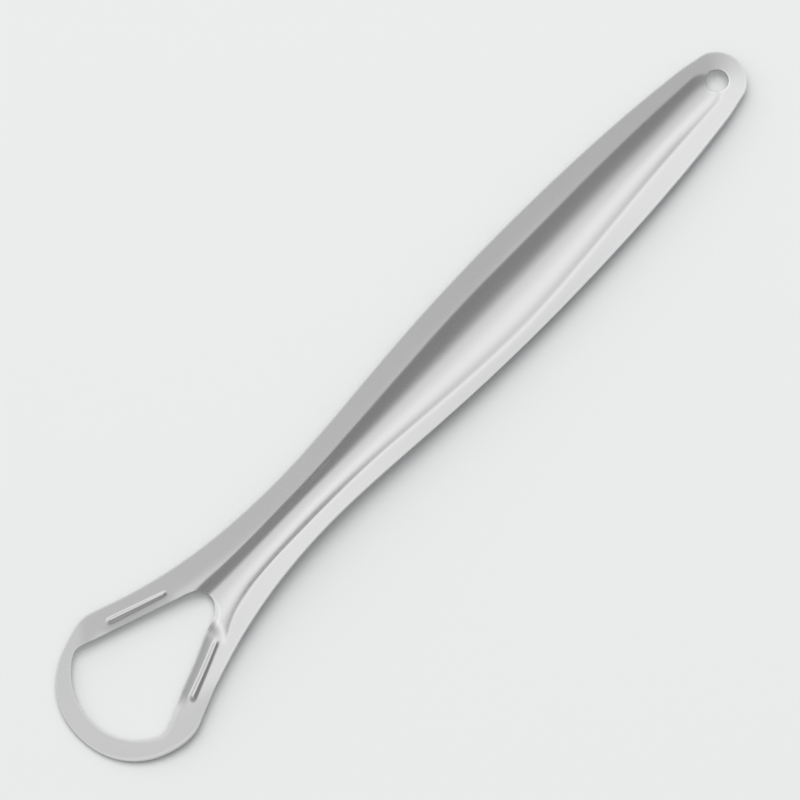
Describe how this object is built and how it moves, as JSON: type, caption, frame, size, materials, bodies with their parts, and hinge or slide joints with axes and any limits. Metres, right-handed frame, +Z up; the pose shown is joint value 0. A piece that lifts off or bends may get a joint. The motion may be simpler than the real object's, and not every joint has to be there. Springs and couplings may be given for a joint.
{
  "type": "tongue scraper",
  "caption": "Flat pressed-steel tongue scraper: a long leaf-shaped handle with a stiffening channel and a hang hole, widening to an open loop with a turned-down scraping lip.",
  "frame": {"origin": "middle of the tool's length and width, on the surface that it lies on", "axes": "+X along the tool from the scraping loop to the tip with the hang hole, +Y across it, +Z up, away from the surface it lies on; the scraping lip is turned down, towards -Z"},
  "size_m": [0.149, 0.0251, 0.0044],
  "materials": {
    "brushed_steel": "fine brushed stainless steel"
  },
  "bodies": {
    "root": {"scraper_body": "brushed_steel"}
  },
  "joints": []
}
